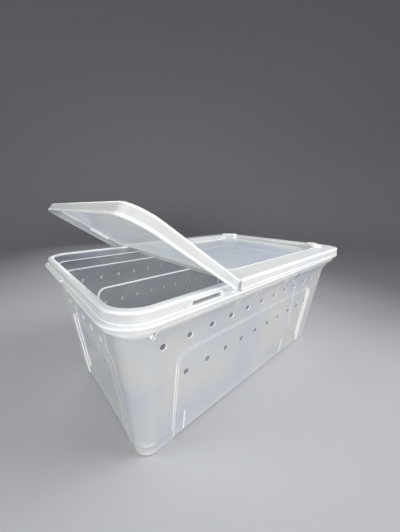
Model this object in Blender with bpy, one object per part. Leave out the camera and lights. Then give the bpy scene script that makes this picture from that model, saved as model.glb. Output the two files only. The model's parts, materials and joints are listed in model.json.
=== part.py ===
"""Ventilated rearing box with a hinged feeding flap: tub, lid, film hinge and flap.

Lengths are written in millimetres and multiplied by MM, so the scene is in metres.
X runs along the box with the flap at -X, Y across it, and Z up from the feet.
The origin is the centre of the footprint. The flap stands open, as it is used.
"""
from math import cos, pi, radians, sin

import bmesh
import bpy
from mathutils import Matrix, Vector

MM = 0.001

# Tub wall: half sizes of the outer face at the floor, their growth per mm of height,
# and the plan corner radius.
FOOT_HALF_X = 137.7
FOOT_HALF_Y = 77.6
DRAFT_X = 0.102
DRAFT_Y = 0.1285
FOOT_RADIUS = 12.0
RADIUS_GROWTH = 0.068
WALL = 2.3
FLOOR_TOP = 3.8
FLOOR_FILLET = 6.0
FOOT_ROUND = 2.8

# Recessed side panels, open at the bottom. They leave the corners standing as posts.
PANEL_DEPTH = 1.1
PANEL_RADIUS = 11.5
LONG_PANEL_HALF = 110.0
LONG_PANEL_TOP = 88.3
SHORT_PANEL_HALF = 53.0
SHORT_PANEL_TOP = 83.5
UNDERSIDE_POCKET = 1.6

# Vent holes: two rows in each wall.
VENT_PITCH = 22.45
VENT_RADIUS = 2.35
LONG_ROWS = ((102.1, 12), (68.3, 10))
SHORT_ROWS = ((96.5, 5), (69.0, 4))

# Rim: the wall steps out, turns over and comes down again as a skirt with a flange.
STEP_Z = 111.5
LEDGE_Z = 117.0
SECOND_LEDGE_Z = 127.5
RIM_TOP = 136.5
RIM_INNER = (151.2, 94.5, 19.0)
RIM_WALL = 1.4
RIM_ROUND = 1.5
LEDGE_RISE = 0.6
LOWER_LEDGE_DEPTH = 1.5
UPPER_LEDGE_DEPTH = 1.2
CURTAIN_OUTER = (156.2, 101.0, 23.0)
CURTAIN_WALL = 1.3
CURTAIN_BOTTOM = 122.0
CHANNEL_TOP = 134.9
FLANGE = (159.4, 105.0, 25.0)
FLANGE_TOP = 129.2
FLANGE_THICK = 1.4
NOTCH_HALF = 12.5
NOTCH_FOOT = 0.2
SLOT_X = (82.3, 107.9)
SLOT_Z = (130.0, 133.4)
SLOT_DEPTH = 3.2
GUSSET_X = (26.5, 53.0, 132.0)
GUSSET_Y = 60.0
GUSSET_THICK = 1.2

# Lid shells: the fixed part, and the flap, whose free end overhangs the flange as a grip.
LID_PLAN = (158.8, 104.6, 23.0)
FLAP_PLAN = (160.3, 104.6, 19.0)
LID_WALL = 1.3
LID_TOP = 138.4
SKIRT_BOTTOM = 129.6
EDGE_ROUND = 1.9
INNER_ROUND = 0.8

# Recess of the fixed part, the four stacking pads across the corners, and the snap beads.
RECESS_X = (-57.2, 137.0)
RECESS_HALF_Y = 81.7
RECESS_RADIUS = 18.0
RECESS_FLOOR = 132.2
RECESS_DRAFT = 0.8
PAD_CENTRE = (131.7, 76.4)
PAD_HALF = (13.0, 6.2)
PAD_RADIUS = 5.2
PAD_CHAMFER = 0.8
PAD_TOP = 141.8
BEAD_X = (84.5, 110.5)
BEAD_Z = (134.0, 137.2)
BEAD_REACH = 1.9

# Film hinge between the fixed part and the flap.
HINGE_X = -63.4
HINGE_Z = LID_TOP
HINGE_RADIUS = 0.55
HINGE_HALF_Y = 85.0
HINGE_GAP = 0.3
RELIEF_Y = (86.0, 96.0)
RELIEF_REACH = 4.3
OPEN_ANGLE = radians(34.7)

# Fineness of the round shapes, and how far cutters and joined pieces run past a face.
CORNER_STEPS = 6
EDGE_STEPS = 3
VENT_SIDES = 10
HINGE_SIDES = 10
OVERRUN = 3.0
BITE = 0.5


def outer_half(z):
    """Half sizes and corner radius of the tub's outer face at height z."""
    return (FOOT_HALF_X + DRAFT_X * z, FOOT_HALF_Y + DRAFT_Y * z, FOOT_RADIUS + RADIUS_GROWTH * z)


def inset(plan, amount):
    """The plan (half x, half y, radius) moved inward by an amount."""
    return tuple(value - amount for value in plan)


def ring(half_x, half_y, radius, z, centre=(0.0, 0.0), turn=0.0):
    """Points of a rounded rectangle, anticlockwise seen from above, turned about its centre."""
    points = []
    corners = ((1, 1, 0.0), (-1, 1, 0.5 * pi), (-1, -1, pi), (1, -1, 1.5 * pi))
    for side_x, side_y, start in corners:
        for step in range(CORNER_STEPS + 1):
            angle = start + 0.5 * pi * step / CORNER_STEPS
            x = side_x * (half_x - radius) + radius * cos(angle)
            y = side_y * (half_y - radius) + radius * sin(angle)
            points.append((centre[0] + x * cos(turn) - y * sin(turn),
                           centre[1] + x * sin(turn) + y * cos(turn), z))
    return points


def mesh_object(name, points, faces):
    """A closed mesh object from points in millimetres, with its faces pointing out."""
    mesh = bpy.data.meshes.new(name)
    mesh.from_pydata([Vector(point) * MM for point in points], [], faces)
    shape = bmesh.new()
    shape.from_mesh(mesh)
    bmesh.ops.recalc_face_normals(shape, faces=shape.faces)
    shape.to_mesh(mesh)
    shape.free()
    thing = bpy.data.objects.new(name, mesh)
    bpy.context.scene.collection.objects.link(thing)
    return thing


def loft(name, rings):
    """A solid skinned over rings of equal length, closed at both ends."""
    count = len(rings[0])
    points = [point for one in rings for point in one]
    faces = [list(range(count))]
    for level in range(len(rings) - 1):
        low = level * count
        for index in range(count):
            after = (index + 1) % count
            faces.append([low + index, low + after, low + count + after, low + count + index])
    last = (len(rings) - 1) * count
    faces.append(list(range(last, last + count)))
    return mesh_object(name, points, faces)


def prism(name, near_outline, far_outline):
    """A solid between two matching outlines."""
    return loft(name, [near_outline, far_outline])


def box(name, low, high):
    """An axis-aligned block between two corners."""
    outline = [(low[0], low[1]), (high[0], low[1]), (high[0], high[1]), (low[0], high[1])]
    return prism(name, [(x, y, low[2]) for x, y in outline], [(x, y, high[2]) for x, y in outline])


def joined(name, pieces):
    """Separate solids gathered into one object."""
    shape = bmesh.new()
    for piece in pieces:
        shape.from_mesh(piece.data)
        bpy.data.objects.remove(piece, do_unlink=True)
    mesh = bpy.data.meshes.new(name)
    shape.to_mesh(mesh)
    shape.free()
    thing = bpy.data.objects.new(name, mesh)
    bpy.context.scene.collection.objects.link(thing)
    return thing


def combine(target, tool, operation):
    """A Boolean modifier on the target, with the tool kept as a hidden guide."""
    modifier = target.modifiers.new(tool.name, "BOOLEAN")
    modifier.operation = operation
    modifier.solver = "EXACT"
    modifier.object = tool
    tool.hide_render = True
    tool.display_type = "WIRE"
    if target.parent is not None:
        tool.parent = target.parent


def finish(thing, colour, roughness, ior):
    """Gives the object its own milky polypropylene and smooth shading on its round parts."""
    material = bpy.data.materials.new(thing.name + "_plastic")
    material.use_nodes = True
    shader = material.node_tree.nodes["Principled BSDF"]
    shader.inputs["Base Color"].default_value = (*colour, 1.0)
    shader.inputs["Metallic"].default_value = 0.0
    shader.inputs["Roughness"].default_value = roughness
    shader.inputs["IOR"].default_value = ior
    shader.inputs["Transmission Weight"].default_value = 0.6
    thing.data.materials.append(material)
    thing.data.shade_smooth()
    thing.data.set_sharp_from_angle(angle=radians(35.0))


def tub_profile():
    """Sections of the tub, from the inner floor up the inside, over the rim and down outside."""
    sections = []

    def add(plan, z):
        sections.append(ring(*plan, z))

    for step in range(EDGE_STEPS + 1):
        angle = 0.5 * pi * step / EDGE_STEPS
        z = FLOOR_TOP + FLOOR_FILLET * (1.0 - cos(angle))
        add(inset(outer_half(z), WALL + FLOOR_FILLET * (1.0 - sin(angle))), z)
    add(inset(outer_half(STEP_Z), WALL), STEP_Z)
    add(inset(outer_half(LEDGE_Z), WALL), LEDGE_Z - LEDGE_RISE)
    add(inset(RIM_INNER, LOWER_LEDGE_DEPTH), LEDGE_Z)
    add(inset(RIM_INNER, UPPER_LEDGE_DEPTH), SECOND_LEDGE_Z)
    add(inset(RIM_INNER, 0.5 * LEDGE_RISE), SECOND_LEDGE_Z + LEDGE_RISE)
    for step in range(EDGE_STEPS + 1):
        angle = 0.5 * pi * step / EDGE_STEPS
        add(inset(RIM_INNER, RIM_ROUND * (cos(angle) - 1.0)), RIM_TOP - RIM_ROUND * (1.0 - sin(angle)))
    for step in range(EDGE_STEPS, -1, -1):
        angle = 0.5 * pi * step / EDGE_STEPS
        add(inset(CURTAIN_OUTER, RIM_ROUND * (1.0 - cos(angle))), RIM_TOP - RIM_ROUND * (1.0 - sin(angle)))
    curtain_inner = inset(CURTAIN_OUTER, CURTAIN_WALL)
    for plan, z in ((CURTAIN_OUTER, FLANGE_TOP), (FLANGE, FLANGE_TOP), (FLANGE, FLANGE_TOP - FLANGE_THICK),
                    (CURTAIN_OUTER, FLANGE_TOP - FLANGE_THICK), (CURTAIN_OUTER, CURTAIN_BOTTOM),
                    (curtain_inner, CURTAIN_BOTTOM), (curtain_inner, CHANNEL_TOP)):
        add(plan, z)
    wall_outer = inset(RIM_INNER, -RIM_WALL)
    add(wall_outer, CHANNEL_TOP)
    add(inset(wall_outer, 0.5 * LEDGE_RISE), SECOND_LEDGE_Z + 2.0 * LEDGE_RISE)
    add(inset(wall_outer, UPPER_LEDGE_DEPTH), SECOND_LEDGE_Z)
    add(inset(wall_outer, LOWER_LEDGE_DEPTH), LEDGE_Z - LEDGE_RISE)
    add(outer_half(STEP_Z), STEP_Z)
    add(outer_half(FOOT_ROUND), FOOT_ROUND)
    add(inset(outer_half(0.0), 0.3 * FOOT_ROUND), 0.3 * FOOT_ROUND)
    add(inset(outer_half(0.0), FOOT_ROUND), 0.0)
    return sections


def panel_outline(half_width, top):
    """Outline of a side panel in its wall: straight sides and round upper corners."""
    points = [(half_width, -OVERRUN)]
    for side, start in ((1, 0.0), (-1, 0.5 * pi)):
        for step in range(CORNER_STEPS + 1):
            angle = start + 0.5 * pi * step / CORNER_STEPS
            across = side * (half_width - PANEL_RADIUS) + PANEL_RADIUS * cos(angle)
            points.append((across, top - PANEL_RADIUS + PANEL_RADIUS * sin(angle)))
    points.append((-half_width, -OVERRUN))
    return points


def panel_cutters():
    """The four shallow recesses in the outer faces, following the draft of each wall."""
    pieces = []
    for side in (1, -1):
        for along_x in (True, False):
            half = LONG_PANEL_HALF if along_x else SHORT_PANEL_HALF
            top = LONG_PANEL_TOP if along_x else SHORT_PANEL_TOP
            layers = []
            for offset in (-PANEL_DEPTH, OVERRUN):
                layer = []
                for across, z in panel_outline(half, top):
                    if along_x:
                        layer.append((across, side * (FOOT_HALF_Y + DRAFT_Y * z + offset), z))
                    else:
                        layer.append((side * (FOOT_HALF_X + DRAFT_X * z + offset), across, z))
                layers.append(layer)
            pieces.append(prism("panel_cut", *layers))
    return joined("side_panel_cutters", pieces)


def underside_cutter():
    """A cross-shaped pocket under the floor, which leaves four corner feet."""
    half_x = LONG_PANEL_HALF - 1.0
    half_y = SHORT_PANEL_HALF - 1.0
    far_x = FOOT_HALF_X + OVERRUN
    far_y = FOOT_HALF_Y + OVERRUN
    outline = [(half_x, -far_y), (half_x, -half_y), (far_x, -half_y),
               (far_x, half_y), (half_x, half_y), (half_x, far_y)]
    outline += [(-x, -y) for x, y in outline]
    low = [(x, y, -OVERRUN) for x, y in outline]
    high = [(x, y, UNDERSIDE_POCKET) for x, y in outline]
    return prism("underside_cutter", low, high)


def vent_cutters(name, rows, along_x):
    """Round rods through both opposite walls, one pair of holes for each place in a row."""
    low_z = min(z for z, count in rows)
    high_z = max(z for z, count in rows)
    axis = 1 if along_x else 0
    reaches = (outer_half(low_z)[axis] - WALL - 2.0 * OVERRUN, outer_half(high_z)[axis] + OVERRUN)
    pieces = []
    for z, count in rows:
        for index in range(count):
            across = (index - 0.5 * (count - 1)) * VENT_PITCH
            for side in (1, -1):
                layers = [vent_outline(across, side * reach, z, along_x) for reach in reaches]
                pieces.append(prism("vent", *layers))
    return joined(name, pieces)


def vent_outline(across, reach, z, along_x):
    """One end of a vent rod: a polygon standing across its axis."""
    points = []
    for corner in range(VENT_SIDES):
        angle = 2.0 * pi * (corner + 0.5) / VENT_SIDES
        wide = across + VENT_RADIUS * cos(angle)
        high = z + VENT_RADIUS * sin(angle)
        points.append((wide, reach, high) if along_x else (reach, wide, high))
    return points


def rim_cutters():
    """Slots in the rim's skirt beside the flap and the fixed lid, and the finger notch."""
    pieces = []
    for side_x in (1, -1):
        for side_y in (1, -1):
            xs = sorted(side_x * value for value in SLOT_X)
            ys = sorted(side_y * (CURTAIN_OUTER[1] + value) for value in (BITE, BITE - SLOT_DEPTH))
            pieces.append(box("slot", (xs[0], ys[0], SLOT_Z[0]), (xs[1], ys[1], SLOT_Z[1])))
    notch_low = (-FLANGE[0] - OVERRUN, -NOTCH_HALF, FLANGE_TOP - FLANGE_THICK - BITE)
    notch_high = (-CURTAIN_OUTER[0] - NOTCH_FOOT, NOTCH_HALF, FLANGE_TOP + BITE)
    pieces.append(box("notch", notch_low, notch_high))
    return joined("rim_cutters", pieces)


def gussets():
    """Thin webs between the wall and the rim's skirt, running down the wall to a point."""
    long_side = gusset_outline(1)
    short_side = gusset_outline(0)
    half = 0.5 * GUSSET_THICK
    pieces = []
    for side in (1, -1):
        for place in GUSSET_X:
            for x in (place, -place):
                layers = [[(x + shift, side * y, z) for y, z in long_side] for shift in (-half, half)]
                pieces.append(prism("gusset", *layers))
        for y in (GUSSET_Y, -GUSSET_Y):
            layers = [[(side * x, y + shift, z) for x, z in short_side] for shift in (-half, half)]
            pieces.append(prism("gusset", *layers))
    return joined("rim_gussets", pieces)


def gusset_outline(axis):
    """Side view of a web, as distance from the middle and height, for walls across that axis."""
    wall = RIM_INNER[axis] + 0.5 * RIM_WALL
    ledge = wall - LOWER_LEDGE_DEPTH
    skirt = CURTAIN_OUTER[axis] - 0.5 * CURTAIN_WALL
    start = outer_half(STEP_Z)[axis] - BITE
    return [(start, STEP_Z - BITE), (start + 2.0 * BITE, STEP_Z - BITE), (skirt, CURTAIN_BOTTOM + BITE),
            (skirt, CHANNEL_TOP + BITE), (wall, CHANNEL_TOP + BITE), (wall, SECOND_LEDGE_Z + 2.0 * BITE),
            (ledge, SECOND_LEDGE_Z - 2.0 * BITE), (ledge, LEDGE_Z + BITE), (start, STEP_Z + 4.0 * BITE)]


def build_tub():
    """The moulded tub: one wall all round, open at the top."""
    tub = loft("tub", tub_profile())
    combine(tub, gussets(), "UNION")
    combine(tub, panel_cutters(), "DIFFERENCE")
    combine(tub, underside_cutter(), "DIFFERENCE")
    combine(tub, vent_cutters("long_wall_vents", LONG_ROWS, True), "DIFFERENCE")
    combine(tub, vent_cutters("short_wall_vents", SHORT_ROWS, False), "DIFFERENCE")
    combine(tub, rim_cutters(), "DIFFERENCE")
    finish(tub, (0.72, 0.74, 0.77), 0.32, 1.49)
    return tub


def lid_shell(name, plan):
    """A whole lid of that plan, before it is parted at the hinge: a plate with a skirt all round."""
    inner = inset(plan, LID_WALL)
    under = LID_TOP - LID_WALL
    sections = [ring(*inset(inner, INNER_ROUND), under), ring(*inner, under - INNER_ROUND),
                ring(*inner, SKIRT_BOTTOM), ring(*plan, SKIRT_BOTTOM)]
    for step in range(EDGE_STEPS + 1):
        angle = 0.5 * pi * step / EDGE_STEPS
        back = EDGE_ROUND * (1.0 - cos(angle))
        sections.append(ring(*inset(plan, back), LID_TOP - EDGE_ROUND * (1.0 - sin(angle))))
    return loft(name, sections)


def pads(name, side_x, foot):
    """Two stacking pads across the corners of one end, from a foot height to their common top."""
    pieces = []
    for side_y in (1, -1):
        centre = (side_x * PAD_CENTRE[0], side_y * PAD_CENTRE[1])
        turn = -0.25 * pi * side_x * side_y
        top = inset((*PAD_HALF, PAD_RADIUS), PAD_CHAMFER)
        sections = [ring(*PAD_HALF, PAD_RADIUS, foot, centre, turn),
                    ring(*PAD_HALF, PAD_RADIUS, PAD_TOP - PAD_CHAMFER, centre, turn),
                    ring(*top, PAD_TOP, centre, turn)]
        pieces.append(loft("pad", sections))
    return joined(name, pieces)


def beads(name, side_x):
    """Rounded beads inside the skirt, which grip the shoulder of the rim."""
    pieces = []
    face = LID_PLAN[1] - LID_WALL
    low, high = BEAD_Z
    middle = 0.5 * (low + high)
    for side_y in (1, -1):
        outline = [(face + BITE, low), (face, low), (face - 0.7 * BEAD_REACH, low + 0.4),
                   (face - BEAD_REACH, middle), (face - BEAD_REACH, high), (face + BITE, high)]
        layers = [[(side_x * x, side_y * y, z) for y, z in outline] for x in BEAD_X]
        pieces.append(prism("bead", *layers))
    return joined(name, pieces)


def parting_cutter(name, side_x):
    """Takes the lid away beyond the film hinge, on the side given by side_x."""
    near = HINGE_X - side_x * (HINGE_RADIUS + HINGE_GAP)
    far = side_x * (FLANGE[0] + OVERRUN)
    low_x, high_x = sorted((near, far))
    reach = FLANGE[1] + OVERRUN
    return box(name, (low_x, -reach, SKIRT_BOTTOM - OVERRUN), (high_x, reach, PAD_TOP + OVERRUN))


def relief_cutter(name, side_x):
    """The two windows beside the ends of the film hinge, on the side given by side_x."""
    xs = sorted((HINGE_X, HINGE_X + side_x * RELIEF_REACH))
    pieces = []
    for side_y in (1, -1):
        ys = sorted(side_y * value for value in RELIEF_Y)
        low = (xs[0], ys[0], SKIRT_BOTTOM - OVERRUN)
        pieces.append(box("window", low, (xs[1], ys[1], PAD_TOP + OVERRUN)))
    return joined(name, pieces)


def build_fixed_lid():
    """The fixed two thirds of the lid, with its recess, pads and beads."""
    lid = lid_shell("lid_fixed_panel", LID_PLAN)
    centre = (0.5 * (RECESS_X[0] + RECESS_X[1]), 0.0)
    recess = (0.5 * (RECESS_X[1] - RECESS_X[0]), RECESS_HALF_Y, RECESS_RADIUS)
    around = inset(recess, -LID_WALL)
    pan = loft("recess_pan", [
        ring(*inset(around, RECESS_DRAFT), RECESS_FLOOR - LID_WALL, centre),
        ring(*around, LID_TOP - 0.5 * LID_WALL, centre)])
    pocket = loft("recess_pocket", [
        ring(*inset(recess, RECESS_DRAFT), RECESS_FLOOR, centre),
        ring(*recess, LID_TOP, centre),
        ring(*recess, LID_TOP + OVERRUN, centre)])
    combine(lid, parting_cutter("fixed_lid_parting", -1), "DIFFERENCE")
    combine(lid, pan, "UNION")
    combine(lid, pocket, "DIFFERENCE")
    combine(lid, pads("fixed_lid_pads", 1, RECESS_FLOOR - BITE), "UNION")
    combine(lid, beads("fixed_lid_beads", 1), "UNION")
    combine(lid, relief_cutter("fixed_lid_relief", 1), "DIFFERENCE")
    finish(lid, (0.76, 0.78, 0.81), 0.22, 1.49)
    return lid


def move_to_hinge(thing):
    """Puts the object's origin on the hinge axis, leaving its shape where it is."""
    axis = Vector((HINGE_X, 0.0, HINGE_Z)) * MM
    thing.data.transform(Matrix.Translation(-axis))
    return axis


def build_flap():
    """The flap, built closed about the hinge axis and then swung open."""
    flap = lid_shell("lid_flap", FLAP_PLAN)
    tools = [(parting_cutter("flap_parting", 1), "DIFFERENCE"),
             (relief_cutter("flap_relief", -1), "DIFFERENCE"),
             (pads("flap_pads", -1, LID_TOP - BITE), "UNION"),
             (beads("flap_beads", -1), "UNION")]
    pivot = bpy.data.objects.new("flap_pivot", None)
    bpy.context.scene.collection.objects.link(pivot)
    pivot.location = move_to_hinge(flap)
    pivot.rotation_euler = (0.0, OPEN_ANGLE, 0.0)
    flap.parent = pivot
    for tool, operation in tools:
        move_to_hinge(tool)
        combine(flap, tool, operation)
    finish(flap, (0.80, 0.82, 0.83), 0.16, 1.49)
    return flap


def build_hinge():
    """The film hinge, a slim round web on the hinge axis between the two lid parts."""
    angles = [2.0 * pi * side / HINGE_SIDES for side in range(HINGE_SIDES)]
    layers = [[(HINGE_RADIUS * cos(angle), y, HINGE_RADIUS * sin(angle)) for angle in angles]
              for y in (-HINGE_HALF_Y, HINGE_HALF_Y)]
    hinge = prism("film_hinge", *layers)
    hinge.location = Vector((HINGE_X, 0.0, HINGE_Z)) * MM
    finish(hinge, (0.83, 0.84, 0.82), 0.25, 1.49)
    return hinge


def main():
    """Clears the scene and builds the four pieces."""
    for thing in list(bpy.data.objects):
        bpy.data.objects.remove(thing, do_unlink=True)
    build_tub()
    build_fixed_lid()
    build_flap()
    build_hinge()


main()
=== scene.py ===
import json
from math import cos, hypot, pi, radians, sin

import bmesh
import bpy
from mathutils import Matrix, Vector


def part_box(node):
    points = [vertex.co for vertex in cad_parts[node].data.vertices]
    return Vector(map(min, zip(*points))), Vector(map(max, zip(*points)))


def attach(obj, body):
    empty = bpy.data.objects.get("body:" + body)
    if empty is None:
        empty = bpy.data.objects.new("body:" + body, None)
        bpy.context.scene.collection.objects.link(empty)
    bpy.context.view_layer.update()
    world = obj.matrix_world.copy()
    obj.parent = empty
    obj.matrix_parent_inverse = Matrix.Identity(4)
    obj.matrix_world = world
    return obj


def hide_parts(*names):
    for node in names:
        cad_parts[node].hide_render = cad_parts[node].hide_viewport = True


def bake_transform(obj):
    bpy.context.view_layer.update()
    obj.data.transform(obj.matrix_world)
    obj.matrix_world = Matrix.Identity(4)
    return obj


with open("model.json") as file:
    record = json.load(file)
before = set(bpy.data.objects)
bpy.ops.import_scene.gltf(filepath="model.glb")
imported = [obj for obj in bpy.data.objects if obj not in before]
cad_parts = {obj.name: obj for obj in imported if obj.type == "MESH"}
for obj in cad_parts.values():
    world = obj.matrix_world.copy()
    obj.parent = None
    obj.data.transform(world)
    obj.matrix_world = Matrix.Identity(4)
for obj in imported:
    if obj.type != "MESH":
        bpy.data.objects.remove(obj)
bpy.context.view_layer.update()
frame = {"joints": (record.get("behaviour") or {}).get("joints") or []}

MM = 0.001

# Measures read from the frame.
TUB_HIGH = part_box("tub")[1] / MM
LID_LOW, LID_HIGH = (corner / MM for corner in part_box("lid_fixed_panel"))
HINGE = next(joint for joint in frame["joints"] if joint["name"] == "flap_hinge")
HINGE_X = HINGE["pos_m"][0] / MM
LID_TOP = HINGE["pos_m"][2] / MM
OPEN_ANGLE = radians(-HINGE["range_deg"][0])
PAD_TOP = LID_HIGH.z
RIM_TOP = TUB_HIGH.z
SKIRT_BOTTOM = LID_LOW.z

# Tub walls: outer face at the floor, growth per mm of height, plan corner radius.
FOOT_HALF = (137.7, 77.6)
DRAFT = (0.102, 0.1285)
FOOT_RADIUS = 12.0
RADIUS_GROWTH = 0.068
WALL = 2.3
FLOOR_TOP = 3.8
FLOOR_FILLET = 6.0
FOOT_ROUND = 2.8

# Side panels of the long and short walls, set back outside and raised inside, open at the foot.
PANEL_DEPTH = 1.1
PANEL_RAISE = 1.1
PANEL_STEP = 1.6
STEP_BEND = (0.4, 0.2)   # where the step bends, as shares of its width and its depth
PANEL_RADIUS = 11.5
PANEL_HALF = (110.0, 53.0)
PANEL_TOP = (88.3, 83.5)
UNDERSIDE_POCKET = 1.6
POCKET_MARGIN = 1.0
GATE_RADII = (7.0, 5.6)
GATE_DEPTH = 0.7

# Vent holes: (height, count) of each row, in the long and the short walls.
VENT_PITCH = 22.45
VENT_RADIUS = 2.35
VENT_CHAMFER = 0.45
VENT_ROWS = (((102.1, 12), (68.3, 10)), ((96.5, 5), (69.0, 4)))

# Rim: steps of the wall, the inverted channel, its skirt, the flange, slots, lugs and webs.
STEP_Z = 111.5
LEDGE_Z = 117.0
SECOND_LEDGE_Z = 127.5
LEDGE_RISE = 0.6
LOWER_LEDGE_DEPTH = 1.5
UPPER_LEDGE_DEPTH = 1.2
RIM_INNER = (151.2, 94.5, 19.0)
RIM_WALL = 1.4
RIM_ROUND = 1.5
CURTAIN_OUTER = (156.2, 101.0, 23.0)
CURTAIN_WALL = 1.3
CURTAIN_BOTTOM = 122.0
CHANNEL_TOP = RIM_TOP - 1.6
FLANGE = (TUB_HIGH.x, TUB_HIGH.y, 25.0)
FLANGE_TOP = 129.2
FLANGE_THICK = 1.4
FLANGE_FILLET = 0.5
NOTCH_HALF = 12.5
SLOT_X = (82.3, 107.9)
SLOT_Z = (130.0, 133.4)
SLOT_DEPTH = 3.2
SLOT_FRAME = 1.1
SLOT_FRAME_PROUD = 0.7
SLOT_LUG = (1.6, 1.0)   # half length, reach
SLOT_LUG_GAP = 4.0
GUSSET_X = (26.5, 53.0, 132.0)
GUSSET_Y = 60.0
GUSSET_THICK = 1.2

# Ribs at the foot of the long walls.
RIB_X = (-99.0, 60.5)
RIB_Z = (4.0, 25.0)
RIB_HALF = 0.6
RIB_PROUD = -0.4
RIB_SLOPE = 1.5

# Lid: plate, skirt with its lip, recess, pads, beads.
LID_WALL = 1.3
LID_PLAN = (LID_HIGH.x, LID_HIGH.y, 23.0)
FLAP_PLAN = (160.3, LID_HIGH.y, 19.0)
EDGE_ROUND = 1.9
INNER_ROUND = 0.8
LIP_HEIGHT = 1.5
LIP_PROUD = 0.35
LIP_SLOPE = 1.4   # where the lip has run out, in heights of the lip
RECESS_X = (-57.2, 137.0)
RECESS_HALF_Y = 81.7
RECESS_RADIUS = 18.0
RECESS_FLOOR = 132.2
RECESS_DRAFT = 0.8
RECESS_FILLETS = (1.6, 1.2)   # under the floor, over it
RECESS_BORDER = 0.25
TOP_ROUND = 0.5
PAD_CENTRE = (131.7, 76.4)
PAD_HALF = (13.0, 6.2, 5.2)
PAD_ROUND = 0.9
BEAD_X = (84.5, 110.5)
BEAD_Z = (134.0, 137.2)
BEAD_REACH = 1.9
BEAD_TAPER = (1.2, 0.25)   # length, share of the reach at the tip

# Film hinge: where the lid parts end, the windows beside it, the ridges and the web.
HINGE_EDGE = 0.85
RELIEF_Y = (86.0, 96.0)
RELIEF_REACH = 4.3
HINGE_RIBS = (2.5, 4.1)
HINGE_RIB_RISE = 0.25
HINGE_RIB_HALVES = (0.45, 0.2)   # at the foot, at the crest
WEB_GAP = 0.05
WEB_DROP = -0.35
WEB_THICK = 0.4
WEB_SAG = (0.08, 0.12)   # further drop half way in, and on the axis
WEB_LENGTH_SHARE = 0.99
WEB_STEPS = 24

# Fineness of round shapes, how far tools run past a face or bite into it, small edge rounds, the
# least angle of a sharp edge, the distance over which points weld, and a circle's corner radius.
CORNER_STEPS = 12
ARC_STEPS = 4
VENT_SIDES = 20
OVERRUN = 3.0
BITE = 0.5
SMALL_ROUND = 0.25
SHARP_ANGLE = radians(32.0)
WELD = 0.002
NEARLY_ONE = 0.999

# Looks: (cooler colour, warmer colour, opacity of one face, least roughness, waviness, painted
# glow: emission that brightens a part though no lamp is there). Every piece has its own for its
# broad thin faces. Rims and skirts are whiter and more opaque, partly for their thickness and
# partly as a painted highlight. Lips, steps and hole edges are whitest, a painted highlight with a
# little painted glow for the light that thick milky plastic leads along itself and lets out there.
# Inner faces and vent bores are painted darker, a painted shade for the little light they get, but
# for the ledges and panel edges among them, which are painted bright as glints with a strong glow.
TUB_LOOK = ((0.68, 0.71, 0.79), (0.79, 0.79, 0.755), 0.49, 0.24, 0.12, 0.0)
# Painted shade: the darker plastic for inner faces, vent bores and the insides of skirts.
PAINTED_SHADE_LOOK = ((0.31, 0.34, 0.40), (0.38, 0.40, 0.41), 0.56, 0.22, 0.08, 0.0)
LID_LOOK = ((0.67, 0.72, 0.80), (0.75, 0.77, 0.78), 0.47, 0.20, 0.0, 0.0)
# The flap's underside glows as painted light, and the hinge a little.
FLAP_LOOK = ((0.70, 0.76, 0.81), (0.77, 0.79, 0.77), 0.54, 0.16, 0.02, 0.27)
HINGE_LOOK = ((0.84, 0.88, 0.80), (0.90, 0.92, 0.82), 0.70, 0.25, 0.0, 0.03)
# Rims whiter partly as painted highlight; lips whiter as painted highlight with a little painted
# glow.
RIM_LOOK = ((0.76, 0.78, 0.81), (0.82, 0.83, 0.79), 0.60, 0.28, 0.02, 0.0)
LIP_LOOK = ((0.80, 0.82, 0.84), (0.84, 0.85, 0.82), 0.86, 0.24, 0.0, 0.03)
# Painted glints: the brightest plastic, with a strong painted glow, for ledges and panel edges
# inside.
PAINTED_GLINT_LOOK = ((0.88, 0.91, 0.95), (0.92, 0.93, 0.92), 0.88, 0.20, 0.0, 0.48)
THIN, RIM, LIP, PAINTED_SHADE, PAINTED_GLINT = range(5)
PLASTIC_IOR = 1.49

# Sorting faces into those looks. A strip between SLIVER and NARROW mm wide is an edge, unless its
# longest edge is a seam within a flat face: longer than LONG_SEAM mm and bent less than FLAT_ANGLE.
# BROAD is a plate's least area in square mm. LEVEL, UPWARD and INWARD are the least share of a
# normal that points that way. The other shares are of a vent's chamfer, beyond its bore, and of the
# wall's and the rim's thickness, out to which a face is on the inner side.
NARROW = 1.7
SLIVER = 0.08
LONG_SEAM = 8.0
FLAT_ANGLE = radians(0.5)
BROAD = 250.0
LEVEL = 0.9
UPWARD = 0.5
INWARD = 0.4
BORE_SHARE = 0.3
WALL_SHARE = 0.6
RIM_SHARE = 0.2

# Noise under the looks: (scale along X, Y and Z, overall scale, detail), the range it is read over,
# and the colour, roughness or bump in mm that it makes.
CLOUDS = ((1.0, 1.0, 1.0), 14.0, 3.0)
CLOUD_RANGE = (0.36, 0.66)
CLOUD_ROUGHNESS = 0.12
FLOW = ((0.6, 1.0, 0.6), 25.0, 2.0)
FLOW_COLOUR = (0.86, 0.87, 0.88)
FLOW_RANGE = (0.45, 0.8)
FLOW_SHARE = 0.2
WEAR = ((0.3, 0.5, 1.0), 70.0, 2.0)
WEAR_RANGE = (0.3, 0.8)
WEAR_ROUGHNESS = 0.06
GRAIN = ((1.0, 1.0, 1.0), 1400.0, 2.0)
GRAIN_STRENGTH = 0.05
GRAIN_HEIGHT = 0.05
WAVE_HEIGHT = 0.3
COLOUR_A, COLOUR_B, COLOUR_RESULT = 6, 7, 2   # a Mix node's sockets for colours

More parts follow.
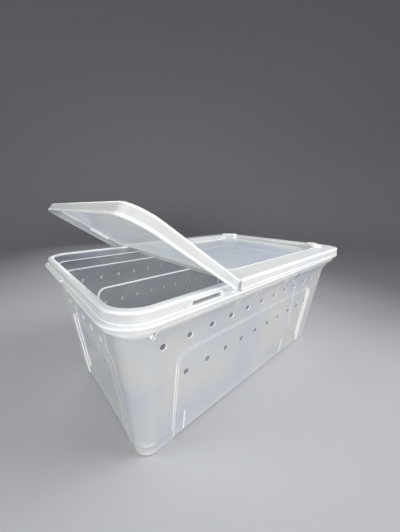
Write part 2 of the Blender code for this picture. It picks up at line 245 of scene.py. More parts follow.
# Studio: the floor in mm, then each softbox as (name, place, size, power, colour), in metres and
# watts.
FLOOR_FLAT = 1100.0
FLOOR_START = 0.6   # the floor's innermost ring, as a share of its flat part
FLOOR_SWEEP = 700.0
FLOOR_WALL = 2200.0
FLOOR_THICK = 10.0
FLOOR_LEVEL = 0.05
FLOOR_COLOUR = (0.46, 0.465, 0.475)
FLOOR_ROUGHNESS = 0.8
WORLD_COLOUR = (0.90, 0.93, 1.0)
WORLD_STRENGTH = 0.30
LIGHT_SPREAD = radians(90.0)
LIGHT_TARGET = (0.0, 0.0, 0.07)
LIGHTS = (
    ("key_softbox", (-0.70, -1.05, 0.19), (0.9, 0.30), 3.5, (1.0, 0.99, 0.98)),
    ("top_softbox", (0.20, -0.30, 0.52), (0.36, 0.36), 0.90, (0.97, 0.98, 1.0)),
    ("left_softbox", (-0.75, 0.25, 0.75), (0.4, 0.4), 1.00, (0.97, 0.99, 1.0)),
    ("back_softbox", (0.30, 1.10, 0.45), (0.6, 0.5), 0.95, (0.95, 0.97, 1.0)),
)

# Camera: eye point in mm, heading clockwise from +Y, drop below level and roll in degrees, focal
# length and sensor width in mm, nearest distance seen in metres.
EYE = (-190.32, -199.94, 189.79)
EYE_HEADING = 41.911
EYE_DROP = 14.757
EYE_ROLL = 0.34
FOCAL = 15.115
SENSOR = 36.0
CLIP_START = 0.01


def outer(z):
    """Plan (half x, half y, radius) of the tub's outer face at height z."""
    return (FOOT_HALF[0] + DRAFT[0] * z, FOOT_HALF[1] + DRAFT[1] * z,
            FOOT_RADIUS + RADIUS_GROWTH * z)


def inset(plan, amount):
    """A plan moved inward by an amount."""
    return tuple(value - amount for value in plan)


def ring(plan, z, centre=(0.0, 0.0), turn=0.0):
    """Points of a rounded rectangle, anticlockwise seen from above, turned about its centre."""
    half_x, half_y, radius = plan
    points = []
    for side_x, side_y, start in ((1, 1, 0.0), (-1, 1, 0.5 * pi), (-1, -1, pi), (1, -1, 1.5 * pi)):
        for step in range(CORNER_STEPS + 1):
            angle = start + 0.5 * pi * step / CORNER_STEPS
            x = side_x * (half_x - radius) + radius * cos(angle)
            y = side_y * (half_y - radius) + radius * sin(angle)
            points.append((centre[0] + x * cos(turn) - y * sin(turn),
                           centre[1] + x * sin(turn) + y * cos(turn), z))
    return points


def circle(radius, z):
    """Points of a circle about the Z axis, as a rounded rectangle with hardly any straight side."""
    return ring((radius, radius, NEARLY_ONE * radius), z)


def arc(start, end, first_leads):
    """Points of a quarter ellipse between two pairs; first_leads: the first value changes first."""
    points = []
    for step in range(ARC_STEPS + 1):
        angle = 0.5 * pi * step / ARC_STEPS
        lead, lag = sin(angle), 1.0 - cos(angle)
        shares = (lead, lag) if first_leads else (lag, lead)
        points.append(tuple(a + (b - a) * share for a, b, share in zip(start, end, shares)))
    return points


def mesh_object(name, points, faces):
    """A mesh object from points in millimetres, with its faces pointing out."""
    mesh = bpy.data.meshes.new(name)
    mesh.from_pydata([Vector(point) * MM for point in points], [], faces)
    shape = bmesh.new()
    shape.from_mesh(mesh)
    bmesh.ops.recalc_face_normals(shape, faces=shape.faces)
    shape.to_mesh(mesh)
    shape.free()
    thing = bpy.data.objects.new(name, mesh)
    bpy.context.scene.collection.objects.link(thing)
    return thing


def loft(name, rings):
    """A solid skinned over rings of equal length, closed at both ends."""
    count = len(rings[0])
    points = [point for one in rings for point in one]
    faces = [list(range(count))]
    for level in range(len(rings) - 1):
        low = level * count
        for index in range(count):
            after = (index + 1) % count
            faces.append([low + index, low + after, low + count + after, low + count + index])
    last = (len(rings) - 1) * count
    faces.append(list(range(last, last + count)))
    return mesh_object(name, points, faces)


def box(name, low, high):
    """An axis-aligned block between two corners."""
    outline = [(low[0], low[1]), (high[0], low[1]), (high[0], high[1]), (low[0], high[1])]
    return loft(name, [[(x, y, z) for x, y in outline] for z in (low[2], high[2])])


def joined(name, pieces):
    """Separate solids gathered into one object."""
    shape = bmesh.new()
    for piece in pieces:
        shape.from_mesh(piece.data)
        bpy.data.objects.remove(piece, do_unlink=True)
    mesh = bpy.data.meshes.new(name)
    shape.to_mesh(mesh)
    shape.free()
    thing = bpy.data.objects.new(name, mesh)
    bpy.context.scene.collection.objects.link(thing)
    return thing


def settle(thing):
    """Makes an object's modifiers part of its mesh."""
    bpy.context.view_layer.update()
    graph = bpy.context.evaluated_depsgraph_get()
    result = bpy.data.meshes.new_from_object(thing.evaluated_get(graph))
    thing.modifiers.clear()
    thing.data = result
    return result


def carve(target, tools):
    """Applies (tool, operation) Booleans to the target in order and removes the tools."""
    for tool, operation in tools:
        modifier = target.modifiers.new(tool.name, "BOOLEAN")
        modifier.operation = operation
        modifier.solver = "EXACT"
        modifier.object = tool
    result = settle(target)
    for tool, _ in tools:
        bpy.data.objects.remove(tool, do_unlink=True)
    shape = bmesh.new()
    shape.from_mesh(result)
    bmesh.ops.remove_doubles(shape, verts=shape.verts, dist=WELD * MM)
    shape.to_mesh(result)
    shape.free()


def on_wall(side, axis, across, z, offset):
    """A point at an offset out from a wall's outer face; axis 1 is the long walls, 0 the short."""
    reach = side * (FOOT_HALF[axis] + DRAFT[axis] * z + offset)
    return (across, reach, z) if axis else (reach, across, z)


def tub_profile():
    """Sections of the tub, from the inner floor up the inside, over the rim and down outside."""
    sections = []

    def add(plan, z):
        sections.append(ring(plan, z))

    for step in range(ARC_STEPS + 1):
        angle = 0.5 * pi * step / ARC_STEPS
        z = FLOOR_TOP + FLOOR_FILLET * (1.0 - cos(angle))
        add(inset(outer(z), WALL + FLOOR_FILLET * (1.0 - sin(angle))), z)
    add(inset(outer(STEP_Z), WALL), STEP_Z)
    add(inset(outer(LEDGE_Z), WALL), LEDGE_Z - LEDGE_RISE)
    add(inset(RIM_INNER, LOWER_LEDGE_DEPTH), LEDGE_Z)
    add(inset(RIM_INNER, UPPER_LEDGE_DEPTH), SECOND_LEDGE_Z)
    add(inset(RIM_INNER, 0.5 * LEDGE_RISE), SECOND_LEDGE_Z + LEDGE_RISE)
    for step in range(ARC_STEPS + 1):
        angle = 0.5 * pi * step / ARC_STEPS
        add(inset(RIM_INNER, RIM_ROUND * (cos(angle) - 1.0)),
            RIM_TOP - RIM_ROUND * (1.0 - sin(angle)))
    for step in range(ARC_STEPS, -1, -1):
        angle = 0.5 * pi * step / ARC_STEPS
        add(inset(CURTAIN_OUTER, RIM_ROUND * (1.0 - cos(angle))),
            RIM_TOP - RIM_ROUND * (1.0 - sin(angle)))
    flange_low = FLANGE_TOP - FLANGE_THICK
    curtain_inner = inset(CURTAIN_OUTER, CURTAIN_WALL)
    for plan, z in ((CURTAIN_OUTER, FLANGE_TOP + FLANGE_FILLET),
                    (inset(CURTAIN_OUTER, -FLANGE_FILLET), FLANGE_TOP),
                    (inset(FLANGE, SMALL_ROUND), FLANGE_TOP), (FLANGE, FLANGE_TOP - SMALL_ROUND),
                    (FLANGE, flange_low + SMALL_ROUND), (inset(FLANGE, SMALL_ROUND), flange_low),
                    (CURTAIN_OUTER, flange_low), (CURTAIN_OUTER, CURTAIN_BOTTOM + SMALL_ROUND),
                    (inset(CURTAIN_OUTER, SMALL_ROUND), CURTAIN_BOTTOM),
                    (inset(curtain_inner, -SMALL_ROUND), CURTAIN_BOTTOM),
                    (curtain_inner, CURTAIN_BOTTOM + SMALL_ROUND), (curtain_inner, CHANNEL_TOP)):
        add(plan, z)
    wall_outer = inset(RIM_INNER, -RIM_WALL)
    add(wall_outer, CHANNEL_TOP)
    add(inset(wall_outer, 0.5 * LEDGE_RISE), SECOND_LEDGE_Z + 2.0 * LEDGE_RISE)
    add(inset(wall_outer, UPPER_LEDGE_DEPTH), SECOND_LEDGE_Z)
    add(inset(wall_outer, LOWER_LEDGE_DEPTH), LEDGE_Z - LEDGE_RISE)
    add(outer(STEP_Z), STEP_Z)
    add(outer(FOOT_ROUND), FOOT_ROUND)
    for step in range(1, ARC_STEPS + 1):
        angle = 0.5 * pi * step / ARC_STEPS
        add(inset(outer(0.0), FOOT_ROUND * (1.0 - cos(angle))), FOOT_ROUND * (1.0 - sin(angle)))
    return sections


def panel_outline(half_width, top, foot, grow=0.0):
    """Outline of a side panel in its wall: straight sides and round upper corners."""
    half_width, top, radius = half_width + grow, top + grow, PANEL_RADIUS + grow
    points = [(half_width, foot)]
    for side, start in ((1, 0.0), (-1, 0.5 * pi)):
        for step in range(CORNER_STEPS + 1):
            angle = start + 0.5 * pi * step / CORNER_STEPS
            across = side * (half_width - radius) + radius * cos(angle)
            points.append((across, top - radius + radius * sin(angle)))
    points.append((-half_width, foot))
    return points


def wall_blocks(name, layers, foot):
    """On all four walls, a panel-shaped solid skinned over layers of (growth, offset)."""
    pieces = []
    for side in (1, -1):
        for axis in (1, 0):
            half, top = PANEL_HALF[1 - axis], PANEL_TOP[1 - axis]
            rings = []
            for grow, offset in layers:
                outline = panel_outline(half, top, foot, grow)
                rings.append([on_wall(side, axis, across, z, offset) for across, z in outline])
            pieces.append(loft(name, rings))
    return joined(name, pieces)


def panel_cutters():
    """The four shallow outer recesses, with a rounded step all round."""
    bend = (-STEP_BEND[0] * PANEL_STEP, (STEP_BEND[1] - 1.0) * PANEL_DEPTH)
    lips = [(-PANEL_STEP, -PANEL_DEPTH), bend, (0.0, 0.0)]
    return wall_blocks("panel_cut", lips + [(PANEL_STEP, OVERRUN)], -OVERRUN)


def panel_pads():
    """The matching raised fields on the inner faces, which keep the wall's thickness even."""
    face = -WALL - PANEL_RAISE
    bend = (-STEP_BEND[0] * PANEL_STEP, face + STEP_BEND[1] * PANEL_RAISE)
    layers = [(-PANEL_STEP, face), bend, (0.0, -WALL), (0.0, -WALL + BITE)]
    return wall_blocks("panel_pad", layers, FLOOR_TOP - BITE)


def underside_cutter():
    """A cross-shaped pocket under the floor, which leaves four corner feet."""
    half_x = PANEL_HALF[0] - POCKET_MARGIN
    half_y = PANEL_HALF[1] - POCKET_MARGIN
    far_x = FOOT_HALF[0] + OVERRUN
    far_y = FOOT_HALF[1] + OVERRUN
    outline = [(half_x, -far_y), (half_x, -half_y), (far_x, -half_y),
               (far_x, half_y), (half_x, half_y), (half_x, far_y)]
    outline += [(-x, -y) for x, y in outline]
    return loft("underside_cutter", [[(x, y, z) for x, y in outline]
                                     for z in (-OVERRUN, UNDERSIDE_POCKET)])


def vent_places():
    """Every vent as (axis, across, z), the same on both walls that face along that axis."""
    places = []
    for axis, rows in ((1, VENT_ROWS[0]), (0, VENT_ROWS[1])):
        for z, count in rows:
            places += [(axis, (index - 0.5 * (count - 1)) * VENT_PITCH, z)
                       for index in range(count)]
    return places


def vents(name, radii, offsets):
    """At every vent, a round solid across the wall, with the given radii at the given offsets."""
    angles = [2.0 * pi * (corner + 0.5) / VENT_SIDES for corner in range(VENT_SIDES)]
    pieces = []
    for axis, across, z in vent_places():
        for side in (1, -1):
            rings = []
            for radius, offset in zip(radii, offsets):
                rings.append([on_wall(side, axis, across + radius * cos(angle),
                                      z + radius * sin(angle), offset) for angle in angles])
            pieces.append(loft(name, rings))
    return joined(name, pieces)


def rim_cutters():
    """Slots in the rim's skirt beside the flap and the fixed lid, and the finger notch."""
    pieces = []
    for side_x in (1, -1):
        for side_y in (1, -1):
            xs = sorted(side_x * value for value in SLOT_X)
            ys = sorted(side_y * (CURTAIN_OUTER[1] + value)
                        for value in (OVERRUN, BITE - SLOT_DEPTH))
            pieces.append(box("slot", (xs[0], ys[0], SLOT_Z[0]), (xs[1], ys[1], SLOT_Z[1])))
    notch_low = (-FLANGE[0] - OVERRUN, -NOTCH_HALF, FLANGE_TOP - FLANGE_THICK - BITE)
    notch_high = (-CURTAIN_OUTER[0] - FLANGE_FILLET, NOTCH_HALF, FLANGE_TOP + BITE)
    pieces.append(box("notch", notch_low, notch_high))
    return joined("rim_cutters", pieces)


def slot_blocks():
    """The raised frame round every slot of the rim's skirt, and a small lug past each end."""
    pieces = []
    for side_x in (1, -1):
        for side_y in (1, -1):
            xs = sorted((side_x * (SLOT_X[0] - SLOT_FRAME), side_x * (SLOT_X[1] + SLOT_FRAME)))
            ys = sorted(side_y * (CURTAIN_OUTER[1] + value) for value in (-BITE, SLOT_FRAME_PROUD))
            pieces.append(box("frame", (xs[0], ys[0], FLANGE_TOP - BITE),
                              (xs[1], ys[1], SLOT_Z[1] + SLOT_FRAME)))
            for x in (SLOT_X[0] - SLOT_LUG_GAP, SLOT_X[1] + SLOT_LUG_GAP):
                xs = sorted((side_x * (x - SLOT_LUG[0]), side_x * (x + SLOT_LUG[0])))
                ys = sorted(side_y * (CURTAIN_OUTER[1] + value) for value in (-BITE, SLOT_LUG[1]))
                pieces.append(box("lug", (xs[0], ys[0], SLOT_Z[0] + BITE),
                                  (xs[1], ys[1], SLOT_Z[1] - BITE)))
    return joined("slot_lugs", pieces)


def gusset_outline(axis):
    """Side view of a web, as distance from the middle and height, for walls across that axis."""
    wall = RIM_INNER[axis] + 0.5 * RIM_WALL
    step_back = wall - LOWER_LEDGE_DEPTH
    skirt = CURTAIN_OUTER[axis] - 0.5 * CURTAIN_WALL
    start = outer(STEP_Z)[axis] - BITE
    return [(start, STEP_Z - BITE), (start + 2.0 * BITE, STEP_Z - BITE),
            (skirt, CURTAIN_BOTTOM + BITE), (skirt, CHANNEL_TOP + BITE),
            (wall, CHANNEL_TOP + BITE), (wall, SECOND_LEDGE_Z + 2.0 * BITE),
            (step_back, SECOND_LEDGE_Z - 2.0 * BITE), (step_back, LEDGE_Z + BITE),
            (start, STEP_Z + 4.0 * BITE)]


def gussets():
    """Thin webs between the wall and the rim's skirt, running down the wall to a point."""
    long_side, short_side = gusset_outline(1), gusset_outline(0)
    half = 0.5 * GUSSET_THICK
    pieces = []
    for side in (1, -1):
        for place in GUSSET_X:
            for x in (place, -place):
                pieces.append(loft("gusset", [[(x + shift, side * y, z) for y, z in long_side]
                                              for shift in (-half, half)]))
        for y in (GUSSET_Y, -GUSSET_Y):
            pieces.append(loft("gusset", [[(side * x, y + shift, z) for x, z in short_side]
                                          for shift in (-half, half)]))
    return joined("rim_gussets", pieces)


def foot_ribs():
    """Short upright ribs at the foot of the long walls, which stop nested tubs from jamming."""
    pieces = []
    for side in (1, -1):
        for x in RIB_X:
            rings = []
            for z, proud in ((RIB_Z[0], RIB_PROUD), (RIB_Z[1] - RIB_SLOPE, RIB_PROUD),
                             (RIB_Z[1], -PANEL_DEPTH)):
                corners = ((-RIB_HALF, -WALL), (-RIB_HALF, proud),
                           (RIB_HALF, proud), (RIB_HALF, -WALL))
                rings.append([on_wall(side, 1, x + shift, z, offset) for shift, offset in corners])
            pieces.append(loft("rib", rings))
    return joined("foot_ribs", pieces)


def gate_cutter():
    """The dimple under the floor where the plastic entered the mould."""
    wide, tight = GATE_RADII
    sections = ((wide, UNDERSIDE_POCKET - BITE), (wide, UNDERSIDE_POCKET),
                (tight, UNDERSIDE_POCKET + GATE_DEPTH))
    return loft("gate", [circle(radius, z) for radius, z in sections])


def build_tub():
    """The moulded tub: one wall all round, open at the top."""
    tub = loft("tub_moulding", tub_profile())
    mouth = VENT_RADIUS + VENT_CHAMFER
    carve(tub, [
        (gussets(), "UNION"),
        (panel_pads(), "UNION"),
        (panel_cutters(), "DIFFERENCE"),
        (foot_ribs(), "UNION"),
        (underside_cutter(), "DIFFERENCE"),
        (gate_cutter(), "DIFFERENCE"),
        (slot_blocks(), "UNION"),
        (rim_cutters(), "DIFFERENCE"),
        (vents("vent", (mouth, mouth, VENT_RADIUS, VENT_RADIUS),
               (OVERRUN, 0.0, -VENT_CHAMFER, -WALL - OVERRUN)), "DIFFERENCE")])
    sort_faces(tub, tub_part)
    return tub


def lid_shell(name, plan):
    """A whole lid of that plan, not yet parted at the hinge: a plate with a skirt all round."""
    inner = inset(plan, LID_WALL)
    under = LID_TOP - LID_WALL
    sections = [ring(inset(inner, INNER_ROUND * (1.0 - sin(0.5 * pi * step / ARC_STEPS))),
                     under - INNER_ROUND * (1.0 - cos(0.5 * pi * step / ARC_STEPS)))
                for step in range(ARC_STEPS + 1)]
    sections += [ring(inner, SKIRT_BOTTOM + SMALL_ROUND),
                 ring(inset(inner, -SMALL_ROUND), SKIRT_BOTTOM),
                 ring(inset(plan, SMALL_ROUND), SKIRT_BOTTOM),
                 ring(plan, SKIRT_BOTTOM + SMALL_ROUND),
                 ring(plan, SKIRT_BOTTOM + LIP_HEIGHT),
                 ring(inset(plan, LIP_PROUD), SKIRT_BOTTOM + LIP_SLOPE * LIP_HEIGHT)]
    for step in range(ARC_STEPS + 1):
        angle = 0.5 * pi * step / ARC_STEPS
        back = LIP_PROUD + EDGE_ROUND * (1.0 - cos(angle))
        sections.append(ring(inset(plan, back), LID_TOP - EDGE_ROUND * (1.0 - sin(angle))))
    return loft(name, sections)


def pads(name, side_x, foot):
    """Two stacking pads across the corners of one end, from a foot height to their common top."""
    pieces = []
    for side_y in (1, -1):
        centre = (side_x * PAD_CENTRE[0], side_y * PAD_CENTRE[1])
        turn = -0.25 * pi * side_x * side_y
        sections = [ring(PAD_HALF, foot, centre, turn)]
        for step in range(ARC_STEPS + 1):
            angle = 0.5 * pi * step / ARC_STEPS
            sections.append(ring(inset(PAD_HALF, PAD_ROUND * (1.0 - cos(angle))),
                                 PAD_TOP - PAD_ROUND * (1.0 - sin(angle)), centre, turn))
        pieces.append(loft("pad", sections))
    return joined(name, pieces)


def beads(name, side_x):
    """Rounded beads inside the skirt, which grip the shoulder of the rim."""
    pieces = []
    face = LID_PLAN[1] - LID_WALL
    low, high = BEAD_Z
    half = 0.5 * (high - low)
    taper, tip = BEAD_TAPER
    outline = [(face + BITE, low)]
    for step in range(2 * ARC_STEPS + 1):
        angle = pi * step / (2 * ARC_STEPS)
        outline.append((face - BEAD_REACH * sin(angle), low + half - half * cos(angle)))
    outline.append((face + BITE, high))
    for side_y in (1, -1):
        rings = []
        for x, share in ((BEAD_X[0], tip), (BEAD_X[0] + taper, 1.0),
                         (BEAD_X[1] - taper, 1.0), (BEAD_X[1], tip)):
            rings.append([(side_x * x,
                           side_y * (face + (y - face) * (share if y < face else 1.0)), z)
                          for y, z in outline])
        pieces.append(loft("bead", rings))
    return joined(name, pieces)


def parting_cutter(name, side_x):
    """Takes the lid away beyond the film hinge, on the side given by side_x."""
    near = HINGE_X - side_x * HINGE_EDGE
    low_x, high_x = sorted((near, side_x * (FLANGE[0] + OVERRUN)))
    reach = FLANGE[1] + OVERRUN
    return box(name, (low_x, -reach, SKIRT_BOTTOM - OVERRUN), (high_x, reach, PAD_TOP + OVERRUN))


def relief_cutter(name, side_x):
    """The two windows beside the ends of the film hinge, on the side given by side_x."""
    xs = sorted((HINGE_X, HINGE_X + side_x * RELIEF_REACH))
    pieces = []
    for side_y in (1, -1):
        ys = sorted(side_y * value for value in RELIEF_Y)
        pieces.append(box("window", (xs[0], ys[0], SKIRT_BOTTOM - OVERRUN),
                          (xs[1], ys[1], PAD_TOP + OVERRUN)))
    return joined(name, pieces)


def hinge_ribs(name, side_x):
    """Fine ridges beside the film hinge, along it, on the side given by side_x."""
    pieces = []
    foot, crest = HINGE_RIB_HALVES
    top = LID_TOP + HINGE_RIB_RISE
    for distance in HINGE_RIBS:
        x = HINGE_X + side_x * distance
        section = [(x - foot, LID_TOP - BITE), (x - foot, LID_TOP), (x - crest, top),
                   (x + crest, top), (x + foot, LID_TOP), (x + foot, LID_TOP - BITE)]
        pieces.append(loft("ridge", [[(px, y, z) for px, z in section]
                                     for y in (-RELIEF_Y[0], RELIEF_Y[0])]))
    return joined(name, pieces)


def build_fixed_lid():
    """The fixed two thirds of the lid, with its recess, pads and beads."""
    lid = lid_shell("fixed_lid_moulding", LID_PLAN)
    centre = (0.5 * (RECESS_X[0] + RECESS_X[1]), 0.0)
    recess = (0.5 * (RECESS_X[1] - RECESS_X[0]), RECESS_HALF_Y, RECESS_RADIUS)
    around = inset(recess, -LID_WALL)
    bottom = RECESS_FLOOR - LID_WALL
    under, over = RECESS_FILLETS
    pan = [ring(inset(around, RECESS_DRAFT + back), bottom + rise, centre)
           for back, rise in arc((under, 0.0), (0.0, under), True)]
    pan.append(ring(around, LID_TOP, centre))
    pan.append(ring(inset(around, SMALL_ROUND), LID_TOP + RECESS_BORDER, centre))
    pocket = [ring(inset(recess, RECESS_DRAFT + back), RECESS_FLOOR + rise, centre)
              for back, rise in arc((over, 0.0), (0.0, over), True)]
    pocket += [ring(inset(recess, -back), LID_TOP + RECESS_BORDER + rise, centre)
               for back, rise in arc((0.0, -TOP_ROUND), (TOP_ROUND, 0.0), False)]
    pocket.append(ring(inset(recess, -TOP_ROUND), LID_TOP + OVERRUN, centre))
    carve(lid, [
        (parting_cutter("fixed_lid_parting", -1), "DIFFERENCE"),
        (loft("recess_pan", pan), "UNION"),
        (loft("recess_pocket", pocket), "DIFFERENCE"),
        (pads("fixed_lid_pads", 1, RECESS_FLOOR - BITE), "UNION"),
        (beads("fixed_lid_beads", 1), "UNION"),
        (hinge_ribs("fixed_lid_ridges", 1), "UNION"),
        (relief_cutter("fixed_lid_relief", 1), "DIFFERENCE")])
    sort_faces(lid, lid_part)
    return lid


def opened():
    """The turn that swings a closed flap to where it rests open."""
    axis = Vector((HINGE_X, 0.0, LID_TOP)) * MM
    swing = Matrix.Rotation(OPEN_ANGLE, 4, "Y")
    return Matrix.Translation(axis) @ swing @ Matrix.Translation(-axis)


def build_flap():
    """The flap, built closed and then swung open about the hinge."""
    flap = lid_shell("flap_moulding", FLAP_PLAN)
    carve(flap, [
        (parting_cutter("flap_parting", 1), "DIFFERENCE"),
        (relief_cutter("flap_relief", -1), "DIFFERENCE"),
        (pads("flap_pads", -1, LID_TOP - BITE), "UNION"),
        (beads("flap_beads", -1), "UNION"),
        (hinge_ribs("flap_ridges", -1), "UNION")])
    sort_faces(flap, flap_part)
    flap.data.transform(opened())
    return flap


def build_hinge():
    """The film hinge: a thin web, slack over its middle, between the two lid parts."""
    reach = HINGE_EDGE - WEB_GAP
    section = [(reach, WEB_DROP), (0.5 * reach, WEB_DROP - WEB_SAG[0]),
               (0.0, WEB_DROP - WEB_SAG[1])]
    turn = Matrix.Rotation(OPEN_ANGLE, 4, "Y")
    sides = []
    for shift in (0.5 * WEB_THICK, -0.5 * WEB_THICK):
        side = [(x, z + shift) for x, z in section]
        for x, z in section[1::-1]:
            swung = turn @ Vector((-x, 0.0, z + shift))
            side.append((swung.x, swung.z))
        sides.append(side)
    outline = sides[0] + sides[1][::-1]
    half_length = WEB_LENGTH_SHARE * RELIEF_Y[0]
    places = [half_length * (2.0 * step / WEB_STEPS - 1.0) for step in range(WEB_STEPS + 1)]
    return loft("film_hinge_web", [[(HINGE_X + x, y, LID_TOP + z) for x, z in outline]
                                   for y in places])


def link(tree, source, target):
    """Joins an output socket to an input socket."""
    tree.links.new(source, target)


def node(tree, kind, **settings):
    """A new shader node with its plain settings."""
    made = tree.nodes.new(kind)
    for key, value in settings.items():
        setattr(made, key, value)
    return made


def noise(tree, coordinates, stretch, scale, detail):
    """Noise over the piece, stretched along the axes."""
    mapping = node(tree, "ShaderNodeMapping")
    mapping.inputs["Scale"].default_value = stretch
    link(tree, coordinates, mapping.inputs["Vector"])
    texture = node(tree, "ShaderNodeTexNoise")
    texture.inputs["Scale"].default_value = scale
    texture.inputs["Detail"].default_value = detail
    link(tree, mapping.outputs["Vector"], texture.inputs["Vector"])
    return texture.outputs["Fac"]


def remap(tree, source, low, high, start, end):
    """A value carried from one range to another, held at its ends."""
    made = node(tree, "ShaderNodeMapRange")
    for key, value in (("From Min", low), ("From Max", high), ("To Min", start), ("To Max", end)):
        made.inputs[key].default_value = value
    link(tree, source, made.inputs["Value"])
    return made.outputs["Result"]


def blended(tree, share, first, second):
    """A mix of two colours, each a plain colour or a socket."""
    made = node(tree, "ShaderNodeMix", data_type="RGBA")
    link(tree, share, made.inputs["Factor"])
    for source, target in ((first, made.inputs[COLOUR_A]), (second, made.inputs[COLOUR_B])):
        if isinstance(source, tuple):
            target.default_value = (*source, 1.0)
        else:
            link(tree, source, target)
    return made.outputs[COLOUR_RESULT]


def bump(tree, height, strength, distance):
    """A bump node over a height, its distance in millimetres."""
    made = node(tree, "ShaderNodeBump")
    made.inputs["Strength"].default_value = strength
    made.inputs["Distance"].default_value = distance * MM
    link(tree, height, made.inputs["Height"])
    return made


def polypropylene(name, cool, warm, opacity, roughness, waviness, painted_glow):
    """Milky moulded polypropylene: cloudy colour, flow lines, a fine grain, uneven wear, and a
    painted glow if one is given.
    """
    material = bpy.data.materials.new(name)
    material.use_nodes = True
    tree = material.node_tree
    shader = tree.nodes["Principled BSDF"]
    place = node(tree, "ShaderNodeTexCoord").outputs["Object"]
    clouds, flow, grain, wear = (noise(tree, place, *kind) for kind in (CLOUDS, FLOW, GRAIN, WEAR))
    base = blended(tree, remap(tree, clouds, *CLOUD_RANGE, 0.0, 1.0), cool, warm)
    streaked = blended(tree, remap(tree, flow, *FLOW_RANGE, 0.0, FLOW_SHARE), base, FLOW_COLOUR)
    link(tree, streaked, shader.inputs["Base Color"])
    worn = remap(tree, wear, *WEAR_RANGE, roughness, roughness + WEAR_ROUGHNESS)
    cloudy = node(tree, "ShaderNodeMath", operation="MULTIPLY_ADD")
    link(tree, clouds, cloudy.inputs[0])
    cloudy.inputs[1].default_value = CLOUD_ROUGHNESS
    link(tree, worn, cloudy.inputs[2])
    link(tree, cloudy.outputs["Value"], shader.inputs["Roughness"])
    fine = bump(tree, grain, GRAIN_STRENGTH, GRAIN_HEIGHT)
    wavy = bump(tree, flow, waviness, WAVE_HEIGHT)
    link(tree, fine.outputs["Normal"], wavy.inputs["Normal"])
    link(tree, wavy.outputs["Normal"], shader.inputs["Normal"])
    shader.inputs["IOR"].default_value = PLASTIC_IOR
    shader.inputs["Alpha"].default_value = opacity
    # Painted glow: an emission that brightens the part though no lamp is there.
    if painted_glow:
        shader.inputs["Emission Color"].default_value = (*cool, 1.0)
        shader.inputs["Emission Strength"].default_value = painted_glow
    return material


def narrow(face):
    """True for a strip no wider than a lip or a step that isn't part of a larger flat face."""
    low = [min(corner.co[axis] for corner in face.verts) for axis in range(3)]
    high = [max(corner.co[axis] for corner in face.verts) for axis in range(3)]
    width = face.calc_area() / (Vector(high) - Vector(low)).length
    longest = max(face.edges, key=lambda edge: edge.calc_length())
    if longest.calc_length() > LONG_SEAM * MM and longest.calc_face_angle(1.0) < FLAT_ANGLE:
        return False
    return SLIVER * MM < width < NARROW * MM


def bore(face):
    """True for a narrow face inside a vent, past its chamfer."""
    centre = face.calc_center_median() / MM
    limit = VENT_RADIUS + BORE_SHARE * VENT_CHAMFER
    return any(abs(centre[axis]) > FOOT_HALF[axis]
               and hypot(centre[1 - axis] - across, centre.z - z) < limit
               for axis, across, z in vent_places())


def ledge(face):
    """True for a face on the inner side of the tub's walls, between the floor and the rim."""
    centre = face.calc_center_median() / MM
    if centre.z < STEP_Z:
        plan = inset(outer(centre.z), WALL_SHARE * WALL)
    else:
        plan = inset(RIM_INNER, -RIM_SHARE * RIM_WALL)
    return (FLOOR_TOP + FLOOR_FILLET < centre.z < RIM_TOP - RIM_ROUND
            and abs(centre.x) < plan[0] and abs(centre.y) < plan[1])


def past_rim(place):
    """True for a point in mm that lies out beyond the wall under the rim's inner edge."""
    return place.z > LEDGE_Z and (abs(place.x) > RIM_INNER[0] + 2.0 * RIM_WALL
                                  or abs(place.y) > RIM_INNER[1] + 2.0 * RIM_WALL)


def inward(face):
    """True for an upright face that looks towards the middle of the box."""
    centre = face.calc_center_median()
    return face.normal.x * centre.x + face.normal.y * centre.y < -INWARD * hypot(centre.x, centre.y)


def tub_part(face):
    """Which plastic a face of the tub shows: the walls, the painted shade inside, the rim, or an
    edge.
    """
    centre = face.calc_center_median()
    # Narrow faces: vent bores get the painted shade, ledges and panel edges inside the painted
    # glint, the rest the lip's whiter plastic, a painted highlight.
    if narrow(face):
        return PAINTED_SHADE if bore(face) else PAINTED_GLINT if ledge(face) else LIP
    # Inner faces below the rim's round get the painted shade, unless they lie out past the rim.
    if inward(face) and centre.z < (RIM_TOP - RIM_ROUND) * MM:
        return THIN if past_rim(centre / MM) else PAINTED_SHADE
    # On the rim, faces that look up get the lip's whiter plastic as a painted highlight.
    if centre.z > LEDGE_Z * MM:
        return LIP if face.normal.z > LEVEL else RIM
    # Faces inside that look up: ledges get the painted glint, the floor and the rest the painted
    # shade.
    if face.normal.z > UPWARD:
        return PAINTED_GLINT if ledge(face) else PAINTED_SHADE
    return THIN


def flap_part(face):
    """Which plastic a face of the closed flap shows: underside, painted shade inside the skirt,
    others.
    """
    if narrow(face):
        return LIP
    if face.normal.z < -LEVEL and face.calc_area() > BROAD * MM * MM:
        return THIN
    # The skirt's inside gets the painted shade, the rest the rim's whiter plastic.
    return PAINTED_SHADE if inward(face) else RIM


def lid_part(face):
    """Which plastic a face of the fixed lid shows: the recess's floor, its walls, edges, others."""
    centre = face.calc_center_median() / MM
    if narrow(face) or centre.z > LID_TOP + BITE:
        return LIP
    recess_wall = (centre.z > RECESS_FLOOR + BITE and inward(face)
                   and abs(centre.x) < RECESS_X[1] + BITE)
    pad = all(abs(abs(centre[axis]) - PAD_CENTRE[axis]) < PAD_HALF[axis] + BITE for axis in (0, 1))
    if recess_wall or pad or centre.z > LID_TOP - 2.0 * LID_WALL:
        return RIM
    # Broad floor faces get the lid's own plastic; the rest as on the flap, with painted shade
    # inside the skirt.
    return THIN if face.normal.z > LEVEL and face.calc_area() > BROAD * MM * MM else flap_part(face)


def sort_faces(thing, part):
    """Gives every face its plastic."""
    shape = bmesh.new()
    shape.from_mesh(thing.data)
    shape.normal_update()
    for face in shape.faces:
        face.material_index = part(face)
    shape.to_mesh(thing.data)
    shape.free()


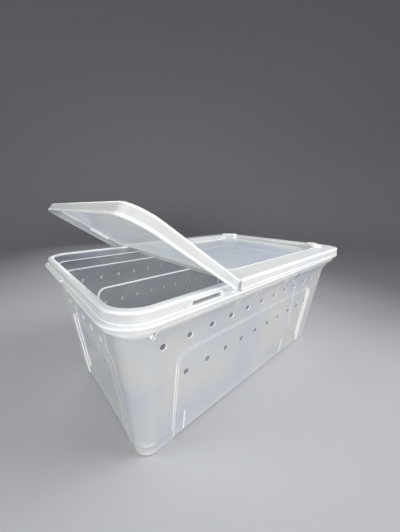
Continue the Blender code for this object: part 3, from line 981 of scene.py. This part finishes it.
def dress(thing, look, body, slot_name):
    """Finishes a piece: its plastics, smooth shading, its body and the node it stands for."""
    # The piece's own plastic, the rim's and the lip's (whiter, partly as painted highlight), the
    # painted shade and the painted glint.
    for part, part_look in (("", look), ("_rim", RIM_LOOK), ("_lip", LIP_LOOK),
                            ("_painted_shade", PAINTED_SHADE_LOOK), ("_painted_glint", PAINTED_GLINT_LOOK)):
        thing.data.materials.append(polypropylene(slot_name + part + "_plastic", *part_look))
    thing.data.shade_smooth()
    thing.data.set_sharp_from_angle(angle=SHARP_ANGLE)
    weighted = thing.modifiers.new("broad_faces_first", "WEIGHTED_NORMAL")
    weighted.mode = "FACE_AREA"
    weighted.keep_sharp = True
    settle(thing)
    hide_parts(slot_name)
    if body:
        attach(thing, body)
    return thing


def soft_light(name, place, size, power, colour):
    """A softbox of (width, height) at a place, in metres, facing the box."""
    light = bpy.data.lights.new(name, "AREA")
    light.shape = "RECTANGLE"
    light.size, light.size_y = size
    light.energy = power
    light.spread = LIGHT_SPREAD
    light.color = colour
    thing = bpy.data.objects.new(name, light)
    bpy.context.scene.collection.objects.link(thing)
    thing.location = place
    sight = Vector(LIGHT_TARGET) - Vector(place)
    thing.rotation_euler = sight.to_track_quat("-Z", "Y").to_euler()


def build_studio():
    """A pale floor that sweeps up all round, a dim even world and the softboxes."""
    sweep = [(FLOOR_START * FLOOR_FLAT, 0.0), (FLOOR_FLAT, 0.0)]
    sweep += arc((FLOOR_FLAT, 0.0), (FLOOR_FLAT + FLOOR_SWEEP, FLOOR_SWEEP), True)[1:]
    sweep.append((FLOOR_FLAT + FLOOR_SWEEP, FLOOR_WALL))
    inside = [(radius, z - FLOOR_LEVEL) for radius, z in sweep]
    outside = [(radius + FLOOR_THICK, z - FLOOR_LEVEL - FLOOR_THICK) for radius, z in sweep]
    floor = loft("studio_floor", [circle(radius, z) for radius, z in inside + outside[::-1]])
    floor.data.shade_smooth()
    material = bpy.data.materials.new("studio_floor")
    material.use_nodes = True
    shader = material.node_tree.nodes["Principled BSDF"]
    shader.inputs["Base Color"].default_value = (*FLOOR_COLOUR, 1.0)
    shader.inputs["Roughness"].default_value = FLOOR_ROUGHNESS
    floor.data.materials.append(material)
    world = bpy.data.worlds.new("studio_world")
    world.use_nodes = True
    world.node_tree.nodes["Background"].inputs["Color"].default_value = (*WORLD_COLOUR, 1.0)
    world.node_tree.nodes["Background"].inputs["Strength"].default_value = WORLD_STRENGTH
    bpy.context.scene.world = world
    for light in LIGHTS:
        soft_light(*light)


def build_camera():
    """The camera, at the eye point and along the sight line that are given at the top."""
    lens = bpy.data.cameras.new("camera")
    lens.sensor_width = SENSOR
    lens.lens = FOCAL
    lens.clip_start = CLIP_START
    camera = bpy.data.objects.new("camera", lens)
    bpy.context.scene.collection.objects.link(camera)
    heading = Matrix.Rotation(-radians(EYE_HEADING), 4, "Z")
    tilt = Matrix.Rotation(radians(90.0 - EYE_DROP), 4, "X")
    roll = Matrix.Rotation(radians(EYE_ROLL), 4, "Z")
    camera.matrix_world = Matrix.Translation(Vector(EYE) * MM) @ heading @ tilt @ roll
    bpy.context.scene.camera = camera


def main():
    """Builds the pieces, dresses them and sets up the studio."""
    bpy.context.scene.view_settings.view_transform = "Standard"
    build_camera()
    build_studio()
    dress(build_tub(), TUB_LOOK, "tub", "tub")
    dress(build_fixed_lid(), LID_LOOK, "lid", "lid_fixed_panel")
    dress(build_flap(), FLAP_LOOK, "flap", "lid_flap")
    hinge = dress(build_hinge(), HINGE_LOOK, None, "film_hinge")
    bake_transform(hinge)


main()
